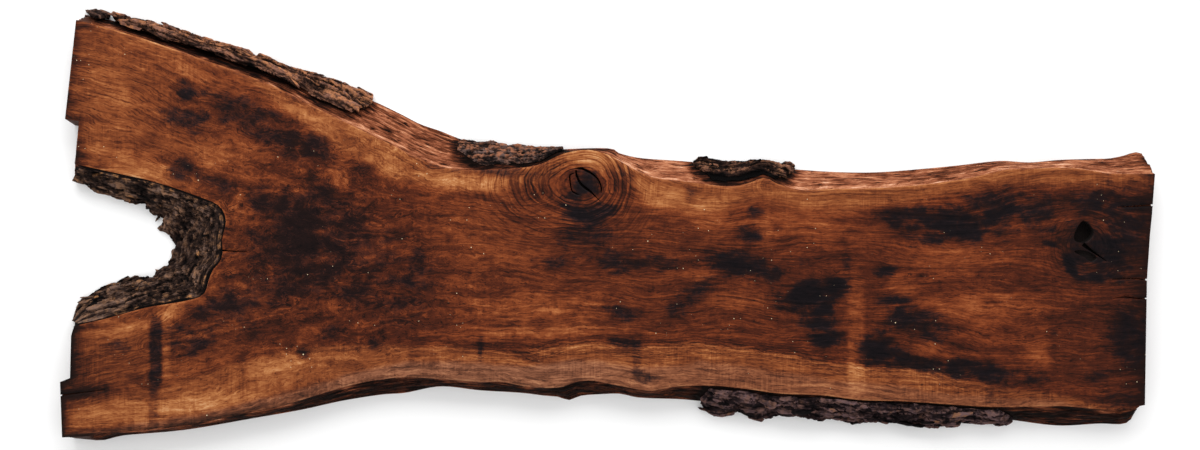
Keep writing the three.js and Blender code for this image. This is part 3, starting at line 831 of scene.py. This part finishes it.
def flakes(look, rng, corners, out_all, along_all, chance, loose_all):
    """Loose plates along the bark's outside, as points, triangles and each one's crest and warmth."""
    count = int(chance.sum() * 100 * look.density)
    for face in rng.choice(len(corners), count, p=chance / chance.sum()):
        loose = loose_all[face]
        out = out_all[face] + rng.normal(size=3) * (0.08 + 0.25 * loose)
        out /= np.linalg.norm(out)
        level = along_all[face] - out * (along_all[face] @ out)
        level /= np.linalg.norm(level)
        twist = rng.normal() * (0.09 + 1.3 * loose)
        direction = level * math.cos(twist) + np.cross(out, level) * math.sin(twist)
        size = np.array(look.flake) * (1 - 0.5 * loose, 1, 1) * rng.uniform(0.6, 1.25)
        place = corners[face].mean(axis=0) - out * size[2] * 0.7
        points, faces = refine(*flake(rng, place, direction, out, size), FLAKE_STEP)
        crest, warm = rng.uniform(0.2, 1.0, 2)
        yield points, faces, np.full(len(points), crest), np.full(len(points), warm ** 2)


def flake_places(points, faces, normals, outline, free, relief):
    """For each triangle: its corners, which way it faces, how the outline runs, and its chance of a flake."""
    corners = points[faces]
    area = lengths_of(facet_normals(corners)) / 2
    out = normals[faces].mean(axis=1)
    along = outline.direction(corners.mean(axis=1))
    endwise = np.abs((out * along).sum(axis=1))
    open_side = (free[faces].min(axis=1) > 0.8) & (endwise < 0.4) & (relief[faces].mean(axis=1) > 0.1)
    return corners, out, along, area * open_side * (corners[..., 2].max(axis=1) < FACE_Z - 0.002)


def furrowed(points, faces, outline, look, free, lumpy):
    """The bark's solid with its furrows cut in, its relief, and how warm its colour is."""
    relief = bark_relief(points, outline, look, lumpy)
    normals = normals_of(points, faces)
    grit = fractal(points, 0.006, 2, look.seed + 60) * 0.001
    flush = (points[:, 2] > FACE_Z - FLUSH_SLACK) & (normals[:, 2] > 0.5)
    move = (0.002 - look.furrow * (1 - relief) ** 1.3 + grit) * free * ~flush
    points = points + normals * move[:, None]
    _, away, _ = outline.measure(points)
    # Off the sawn top the warmth follows the relief, so the crests take the warmer colour: partly the bark's
    # own colour, partly painted light.
    return points, normals, relief, np.where(flush, bell(away, *RIM_FLECKS), 0.3 * relief)


def bark(node, outline, to_wood):
    """A piece of bark: the CAD solid with its furrows cut in, and loose flakes on its outside."""
    look = BARKS[node]
    points, faces = refine(*solid_of(node), BARK_STEP)
    free = smoothstep(to_wood(points), 0.002, 0.007)
    lumpy = smoothstep(points[:, 0], *THROAT) * (node == "bark_crotch")
    points, normals, relief, warm = furrowed(points, faces, outline, look, free, lumpy)

    pieces = [(points, faces, relief, warm)]
    places = flake_places(points, faces, normals, outline, free, relief)
    pieces += flakes(look, np.random.default_rng(look.seed), *places, lumpy[faces].mean(axis=1))
    starts = np.cumsum([0] + [len(piece[0]) for piece in pieces])
    faces = np.concatenate([piece[1] + start for piece, start in zip(pieces, starts)])
    points, crest, warm = (np.concatenate([piece[k] for piece in pieces]) for k in (0, 2, 3))
    grown = np.arange(len(points)) >= starts[1]
    rough = fractal(points, 0.011, 2, look.seed + 80) * 0.0018 * grown
    points = points + normals_of(points, faces) * rough[:, None]
    points = np.clip(points, LOW_CORNER, HIGH_CORNER)
    points[grown, 2] = np.minimum(points[grown, 2], FACE_Z - 0.0002)

    along, away, _ = outline.measure(points)
    # The outer tier is made lighter and warmer: partly the bark's own colour, partly painted light where it
    # faces the lamp.
    outer = smoothstep(away, *look.outer)
    made = mesh_object(node.replace("bark", "rough_bark"), points, faces)
    made.data.shade_flat()
    write_attributes(made, {
        "edge": rows(along, away + FACE_Z - points[:, 2], 0.0),
        # The crest value sets the colour from the near-black furrow colour to the light crest colour: painted
        # shade in the hollows and painted light on the tops, besides the bark's own colour.
        "crest": crest + 0.12 * outer,
        "warm": np.maximum(warm, 0.8 * outer),
    })
    made.data.materials.append(bark_finish(node, look))
    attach(made, "root")
    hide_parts(node)


# The finishes' patterns: their size along each axis of the space that they are laid in, then how many
# octaves they have, how rough they are and how distorted.
PATTERNS = {
    "sway": ((0.04, 0.022, 1), 4, 0.6, 0.6),
    "bands": ((0.4, 0.024, 1), 3, 0.6),
    "streaks": ((0.11, 0.006, 1), 5, 0.7, 0.3),
    "knot streaks": ((0.05, 0.05, 0.0034), 4, 0.65),
    "fibres": ((0.024, 0.0024, 1), 3, 0.7),
    "mottle": ((0.05, 0.026, 1), 6, 0.72, 0.8),
    "eyes": ((0.014, 0.007, 1), 2, 0.6, 0.5),
    "ripples": ((0.0045, 0.06, 1), 3, 0.65, 0.3),
    "ripple patches": ((0.1, 0.05, 1), 3),
    "pores": ((0.012, 0.0018, 1), 1),
    "growth": ((0.5, 0.011, 1), 2, 0.5),
    "growth patches": ((0.16, 0.06, 1), 3),
    "ring drift": ((0.1, 0.1, 0.03), 3),
    "rings": ((0.25, 0.25, 0.0052), 3, 0.6),
    "pale rim patches": ((0.05, 0.05, 1), 3),
    "specks": ((0.0042, 0.0042, 1), 0),
    "speck patches": ((0.12, 0.08, 1), 1),
    "sap border": ((0.06, 0.02, 1), 5, 0.7),
    "sap lines": ((1, 0.004, 1), 1),
    "stain border": ((0.09, 0.022, 1), 6, 0.72, 0.4),
    "smoke": ((0.034, 0.024, 1), 6, 0.75, 0.9),
    "wane streaks": ((0.06, 0.0065, 1), 5, 0.7, 0.5),
    "wane fibres": ((0.02, 0.0022, 1), 3, 0.7),
    "wane patches": ((0.05, 0.02, 0.02), 4),
    "wane scars": ((0.045, 0.01, 1), 4, 0.7, 0.5),
    "arc drift": ((0.05, 0.05, 0.03), 3),
    "arcs": ((0.0045, 1, 1), 2, 0.6),
    "rays": ((0.0022, 0.05, 1), 2),
    "end pores": ((0.0016, 0.0016, 0.0016), 1),
    "end patches": ((0.06, 0.06, 0.03), 4, 0.6),
    "saw marks": ((1, 0.0024, 0.05), 2),
    "crack": ((0.02, 0.02, 0.02), 4),
    "bark grain": ((0.008, 0.008, 0.008), 5, 0.7),
    "bark fibres": ((0.045, 0.004, 1), 4, 0.7, 0.5),
    "bark areas": ((0.04, 0.04, 0.04), 2),
    "bark patches": ((0.011, 0.011, 0.011), 3),
}

# Colours as tones from dark to light, each with a web code.
HEARTWOOD = [(0, "0f0a0b"), (0.2, "28140f"), (0.4, "4c2114"), (0.6, "7c391d"), (0.8, "a85d34"), (1, "cd8c5c")]
GOLDEN = [(0, "0f0b0a"), (0.2, "2a1712"), (0.4, "572a19"), (0.6, "884927"), (0.8, "b27142"), (1, "d5a172")]
ROSY = [(0, "1a1210"), (0.2, "38251d"), (0.45, "653f2e"), (0.65, "95634a"), (0.85, "b98664"), (1, "d8b292")]
STAINED = [(0, "09080b"), (0.2, "191519"), (0.45, "3a2623"), (0.7, "6f4634")]
WANE = [(0, "100a08"), (0.2, "2d1711"), (0.42, "643420"), (0.62, "97583c"), (0.85, "c68662"), (1, "e2b092")]
END_GRAIN = [(0, "120b09"), (0.3, "331b12"), (0.6, "643621"), (0.85, "8d5736"), (1, "ab7650")]
SPECK = "dcc6a0"
# The walls of cracks and holes, near black: painted shade for their depth.
CRACK_SHADE = ("1b1210", "0c0908")

PAINT = 0.88  # the colours are this much darker than their codes, as the studio's light is bright
PITH_SHARE = 0.3  # how high up the slab's thickness the pith lies
END_TONE = 0.42  # how light the sawn ends are
RING_WAVE = 720.0  # radians to the metre, so that the rings round a knot are 8.7 mm apart
RING_DRIFT, RING_START = 7.0, 3.5  # how unevenly the rings follow each other, and where they start
MIX_A, MIX_B, MIXED = 6, 7, 2  # the sockets of the colour mixing node
OILED_IOR = 1.3  # low, so that the oiled wood has no grey haze where it is seen from a low angle

WORLD_LIGHT = 0.93
KEY_POWER = 95
KEY_SIZE = (4.0, 1.6)
KEY_PLACE = (0, 2.6, 2.4)
FLOOR_REACH = 9
FLOOR_DROP = 0.0005  # the floor lies this far under the slab, so that the two don't share a plane
FLOOR_SHADE = 0.92


def color(code):
    """A colour from its web code."""
    parts = [int(code[k:k + 2], 16) / 255 for k in (0, 2, 4)]
    linear = [p / 12.92 if p <= 0.04045 else ((p + 0.055) / 1.055) ** 2.4 for p in parts]
    return (*(part * PAINT for part in linear), 1.0)


class Value:
    """What a shader node gives. Sums and products of values add the nodes that work them out."""

    def __init__(self, nodes, socket):
        self.nodes, self.socket = nodes, socket

    def __add__(self, other):
        return self.nodes.math("ADD", self, other)

    def __sub__(self, other):
        return self.nodes.math("SUBTRACT", self, other)

    def __mul__(self, other):
        return self.nodes.math("MULTIPLY", self, other)


class Nodes:
    """A material, with short names for the shader nodes that the finishes use."""

    def __init__(self, name):
        self.material = bpy.data.materials.new(name)
        self.material.use_nodes = True
        self.tree = self.material.node_tree
        self.shader = self.tree.nodes["Principled BSDF"]

    def fill(self, node, inputs):
        for key, value in inputs.items():
            if isinstance(value, Value):
                self.tree.links.new(value.socket, node.inputs[key])
            else:
                node.inputs[key].default_value = value

    def new(self, kind, output, inputs, **settings):
        node = self.tree.nodes.new("ShaderNode" + kind)
        for key, setting in settings.items():
            setattr(node, key, setting)
        self.fill(node, inputs)
        return Value(self, node.outputs[output])

    def attribute(self, name, output="Fac"):
        return self.new("Attribute", output, {}, attribute_name=name)

    def place(self):
        return self.new("TexCoord", "Object", {})

    def triple(self, x, y, z=0.0):
        return self.new("CombineXYZ", "Vector", {"X": x, "Y": y, "Z": z})

    def part(self, vector, axis):
        return self.new("SeparateXYZ", axis, {"Vector": vector})

    def shifted(self, vector, across):
        """The vector with its second part moved by a value."""
        return self.new("VectorMath", "Vector", {0: vector, 1: self.triple(0.0, across)})

    def pattern(self, vector, name):
        """One of the patterns, as values from -0.5 to 0.5."""
        size, *settings = PATTERNS[name]
        scaled = self.new("Mapping", "Vector", {"Vector": vector, "Scale": [1 / s for s in size]})
        inputs = dict(zip(("Detail", "Roughness", "Distortion"), settings))
        return self.new("TexNoise", "Fac", {"Vector": scaled, "Scale": 1, "Roughness": 0.55, **inputs}) - 0.5

    def math(self, operation, *values):
        return self.new("Math", "Value", dict(enumerate(values)), operation=operation)

    def span(self, value, low, high, to_low=0.0, to_high=1.0):
        """Eases from one value at low to another at high."""
        inputs = {"Value": value, "From Min": low, "From Max": high, "To Min": to_low, "To Max": to_high}
        return self.new("MapRange", "Result", inputs, interpolation_type="SMOOTHSTEP")

    def mix(self, share, a, b):
        """The colour a where the share is 0, and b where it is 1."""
        return self.new("Mix", MIXED, {"Factor": share, MIX_A: a, MIX_B: b}, data_type="RGBA")

    def ramp(self, value, stops):
        shade = self.new("ValToRGB", "Color", {"Fac": value})
        ends = shade.socket.node.color_ramp.elements
        while len(ends) < len(stops):
            ends.new(0.5)
        for end, (position, code) in zip(ends, stops):
            end.position = position
            end.color = color(code)
        return shade

    def bump(self, height, distance):
        normal = self.new("Bump", "Normal", {"Height": height, "Strength": 1.0, "Distance": distance})
        self.fill(self.shader, {"Normal": normal})

    def finish(self, base, roughness, shine=0.5, ior=1.5):
        self.fill(self.shader, {"Base Color": base, "Roughness": roughness})
        self.fill(self.shader, {"Specular IOR Level": shine, "IOR": ior})
        return self.material


def face_finish():
    """The sawn and oiled faces. The tone gathers every pattern's share, and the colours come from it."""
    n = Nodes("sawn_walnut")
    place, swirl, stain = n.place(), n.attribute("swirl"), n.attribute("stain")
    sway = n.pattern(place, "sway") * (swirl * 0.08 + 0.01)
    flow = n.shifted(n.attribute("flow", "Vector"), sway)
    ring_space = n.triple(n.part(place, "X"), n.part(place, "Y"), n.attribute("knot_away"))
    streaks = n.pattern(flow, "streaks")
    streaks += (n.pattern(ring_space, "knot streaks") - streaks) * n.attribute("rings")
    fibres, ripples = n.pattern(flow, "fibres"), n.pattern(place, "ripples")
    stained = stain_share(n, stain, flow, place)

    tone = n.attribute("tone") + n.pattern(flow, "bands") * 0.44 + streaks * (stain * 0.5 + 0.64)
    tone += fibres * 0.5 + stained * n.span(swirl, 0, 1, -0.19, -0.06)
    tone += figure_tone(n, place, swirl, sway, ripples) + line_tone(n, flow, place)
    tone += ring_tone(n, ring_space) + sapwood_tone(n, place) + pale_rim_tone(n, place)
    tone = n.math("MAXIMUM", tone, tone * 0.35 + 0.09)

    base = n.mix(n.attribute("gold"), n.ramp(tone, HEARTWOOD), n.ramp(tone, GOLDEN))
    base = n.mix(n.attribute("pink"), base, n.ramp(tone, ROSY))
    base = n.mix(stained * n.span(swirl, 0, 1, 0.85, 0.35), base, n.ramp(tone, STAINED))
    specks = n.span(n.pattern(place, "specks"), 0.32, 0.35)
    specks *= n.span(n.pattern(place, "speck patches"), 0.06, 0.1)
    n.bump(fibres * 0.6 + ripples * 0.3, 0.0004)
    return n.finish(n.mix(specks, base, color(SPECK)), n.span(streaks, -0.2, 0.2, 0.36, 0.5), 0.1, OILED_IOR)


def stain_share(n, stain, flow, place):
    """How dark the stains are, 0 to 1, with ragged borders that run out along the grain."""
    unrest = n.pattern(flow, "stain border") * 1.1 + n.pattern(place, "smoke") * 1.6
    return n.span(stain + unrest * n.span(stain, 0.0, 0.25, 0.3, 1.0), 0.15, 0.95)


def figure_tone(n, place, swirl, sway, ripples):
    """The mottle, the dark eyes and the cross ripples of figured wood."""
    mottle = n.pattern(place, "mottle") * (swirl * 0.6 + 0.56)
    eyes = n.span(n.pattern(n.shifted(place, sway), "eyes"), 0.1, 0.2) * (swirl * -0.12 - 0.07)
    patches = n.span(n.pattern(place, "ripple patches"), -0.1, 0.15)
    return mottle + eyes + ripples * patches * (n.attribute("gold") * 0.36 + 0.08)


def line_tone(n, flow, place):
    """The pores, and thin dark growth lines in patches away from the knots."""
    pores = n.span(n.pattern(flow, "pores"), 0.06, 0.22, 0.0, -0.16)
    lines = n.span(n.math("ABSOLUTE", n.pattern(flow, "growth")), 0.0, 0.022, -0.17, 0.0)
    patches = n.span(n.pattern(place, "growth patches"), -0.08, 0.1)
    return pores + lines * patches * (n.attribute("rings") * -1.0 + 1.0)


def ring_tone(n, ring_space):
    """The rings round the knots: evenly spaced dark lines, with broader uneven ones among them."""
    drift = n.pattern(ring_space, "ring drift") * RING_DRIFT + RING_START
    wave = n.math("SINE", n.attribute("knot_away") * RING_WAVE + drift)
    broad = n.span(n.pattern(ring_space, "rings"), -0.12, 0.06, -0.2, 0.1)
    return (n.span(wave, 0.3, 1.0, 0.05, -0.22) + broad) * n.attribute("rings")


def sapwood_tone(n, place):
    """How much lighter the lower sapwood is, with the dark growth lines that run along its inner side."""
    seam = n.attribute("seam")
    depth = n.pattern(place, "sap border") * 0.02 + n.attribute("sap_depth")
    light = n.span(depth, -0.002, 0.005) * (seam * 0.05 + 0.1)
    ruler = n.triple(n.part(place, "X") * 0.02, depth)
    lines = n.span(n.pattern(ruler, "sap lines"), -0.08, 0.08, -1.0, 0.3)
    near = n.span(depth, -0.02, -0.004) * n.span(depth, 0.008, 0.03, 1.0, 0.25)
    return light + lines * near * seam * 0.16


def pale_rim_tone(n, place):
    """A lighter rim in places along the edge of the face."""
    worn = n.span(n.part(n.attribute("edge", "Vector"), "Y"), 0.0005, 0.0035, 0.16, 0.0)
    return worn * n.span(n.pattern(place, "pale rim patches"), -0.15, 0.1)


def wane_finish():
    n = Nodes("bare_wane")
    ruler = n.attribute("edge", "Vector")
    streaks, fibres = n.pattern(ruler, "wane streaks"), n.pattern(ruler, "wane fibres")
    scars = n.span(n.pattern(ruler, "wane scars"), 0.06, 0.18, 0.0, -0.4)
    tone = n.attribute("tone") + streaks * 1.9 + fibres * 0.8 + n.pattern(n.place(), "wane patches") * 0.8
    n.bump(fibres * 0.5 + streaks, 0.002)
    return n.finish(n.ramp(tone + scars, WANE), 0.7, 0.05, OILED_IOR)


def end_grain_finish():
    """Sawn across the grain: arcs of growth layers round the pith, with pores and fine rays across them."""
    n = Nodes("end_grain")
    flow, place = n.attribute("flow", "Vector"), n.place()
    across, rise = n.part(flow, "Y"), n.part(flow, "Z") - FACE_Z * PITH_SHARE
    radius = n.math("SQRT", across * across + rise * rise) + n.pattern(place, "arc drift") * 0.012
    arcs, saw = n.pattern(n.triple(radius, 0.0), "arcs"), n.pattern(place, "saw marks")
    rays = n.pattern(n.triple(n.part(place, "Y"), radius), "rays")
    pores = n.span(n.pattern(place, "end pores"), 0.05, 0.2, 0.0, -0.12)
    tone = arcs * 0.6 + rays * 0.2 + n.pattern(place, "end patches") * 0.6 + saw * 0.2 + pores
    n.bump(saw * 0.6 + arcs * 0.3, 0.0006)
    return n.finish(n.ramp(tone + END_TONE, END_GRAIN), 0.7, 0.1)


# The cracks' and holes' walls, painted near black as shade.
def crack_shade_finish():
    n = Nodes("crack")
    return n.finish(n.mix(n.pattern(n.place(), "crack") + 0.5, *map(color, CRACK_SHADE)), 0.9, 0.15)


def bark_finish(name, look):
    n = Nodes(name)
    place = n.place()
    grain, areas = n.pattern(place, "bark grain"), n.pattern(place, "bark areas")
    fibres = n.pattern(n.attribute("edge", "Vector"), "bark fibres")
    level = n.attribute("crest") + grain * look.speckle + fibres * 1.1 + areas * 0.7
    furrow, side, crest, warm = look.shades
    # The relief sets the tone: painted shade in the furrows and painted light on the crests, over the bark's
    # own darker and lighter parts.
    base = n.ramp(level, [(0.25, furrow), (0.6, side), (1, crest)])
    patches = n.span(n.pattern(place, "bark patches"), -0.08, 0.1)
    n.bump(grain + fibres, 0.0018)
    # The warmer colour goes only on the higher crests, partly the bark's own colour and partly painted light.
    share = n.attribute("warm") * patches * n.span(level, 0.4, 0.9)
    return n.finish(n.mix(share, base, color(warm)), 0.9, 0.05)


def camera():
    scene = bpy.context.scene
    scene.view_settings.view_transform = "Standard"
    lens = bpy.data.cameras.new("camera")
    lens.sensor_width = SENSOR_WIDTH
    lens.lens = SENSOR_WIDTH * VIEW_DISTANCE / VIEW_WIDTH
    eye = bpy.data.objects.new("camera", lens)
    eye.location = (*VIEW_POINT, FACE_Z + VIEW_DISTANCE)
    scene.collection.objects.link(eye)
    scene.camera = eye


def lights():
    world = bpy.data.worlds.new("studio")
    world.use_nodes = True
    background = world.node_tree.nodes["Background"]
    background.inputs["Color"].default_value = (1, 1, 1, 1)
    background.inputs["Strength"].default_value = WORLD_LIGHT
    bpy.context.scene.world = world

    key = bpy.data.lights.new("key", "AREA")
    key.shape = "RECTANGLE"
    key.size, key.size_y = KEY_SIZE
    key.energy = KEY_POWER
    lamp = bpy.data.objects.new("key", key)
    lamp.location = KEY_PLACE
    lamp.rotation_euler = (-lamp.location).to_track_quat("-Z", "Y").to_euler()
    bpy.context.scene.collection.objects.link(lamp)


def floor():
    corners = np.array([(-1, -1, 0), (1, -1, 0), (1, 1, 0), (-1, 1, 0)], float) * FLOOR_REACH
    made = mesh_object("floor", corners, np.array([(0, 1, 2), (0, 2, 3)]))
    made.location.z = -FLOOR_DROP
    made.data.materials.append(Nodes("pale_floor").finish((*[FLOOR_SHADE] * 3, 1), 0.9))


camera()
lights()
floor()
slab, outline = wood()
for finish in (face_finish(), wane_finish(), end_grain_finish(), crack_shade_finish()):
    slab.data.materials.append(finish)
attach(slab, "root")
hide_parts("slab_wood")
to_wood = distance_field(["slab_wood"])
for node in BARKS:
    bark(node, outline, to_wood)
